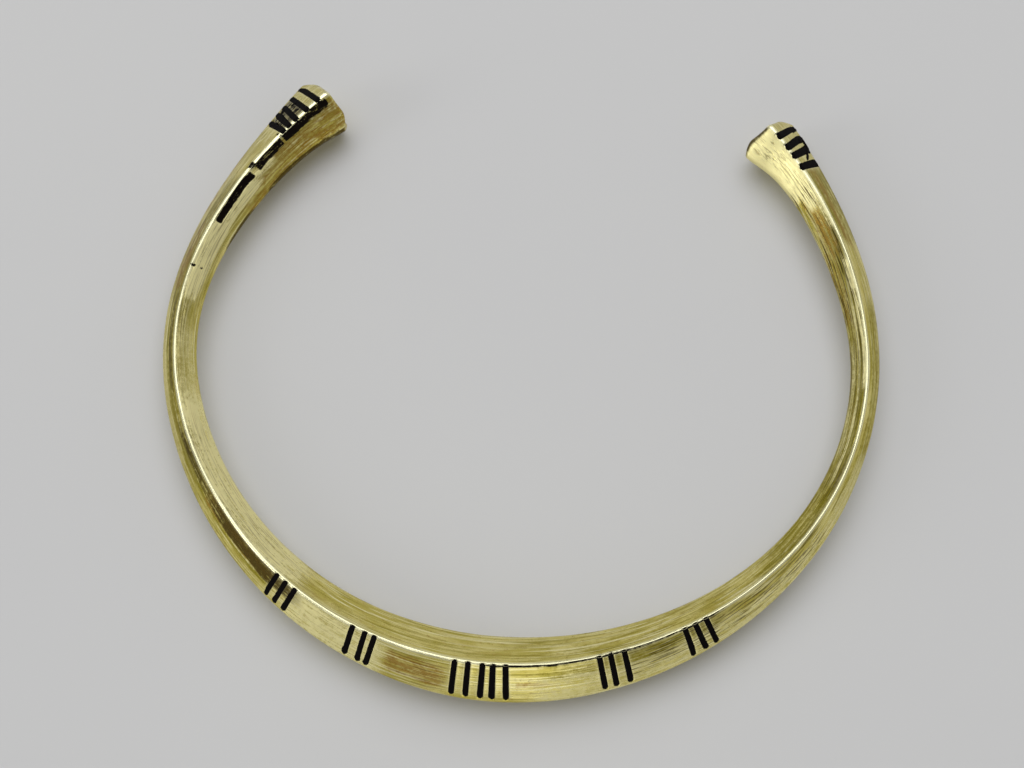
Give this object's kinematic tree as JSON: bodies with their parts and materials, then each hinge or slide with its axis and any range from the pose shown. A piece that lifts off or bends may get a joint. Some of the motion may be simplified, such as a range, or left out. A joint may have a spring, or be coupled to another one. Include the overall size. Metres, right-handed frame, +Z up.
{
  "type": "cuff bracelet",
  "caption": "Open brass cuff bracelet bent from one lozenge-section bar, thick at the front, with flared ends and black-filled cut lines on its outward face.",
  "frame": {"origin": "middle of the outer box on the resting plane", "axes": "+Z up out of the plane the hoop lies in, the engraved front faces -Y, the gap faces +Y, +X to the wearer's view right"},
  "size_m": [0.0658, 0.0584, 0.0061],
  "materials": {
    "brass": "filed and worn, semi-bright",
    "black_fill": "matte black filling in cut lines"
  },
  "bodies": {
    "root": {"cuff_bar": "brass", "front_center_line_fill": "black_fill", "front_left_inner_line_fill": "black_fill", "front_left_outer_line_fill": "black_fill", "front_right_inner_line_fill": "black_fill", "front_right_outer_line_fill": "black_fill", "left_end_line_fill": "black_fill", "right_end_line_fill": "black_fill"}
  },
  "joints": []
}
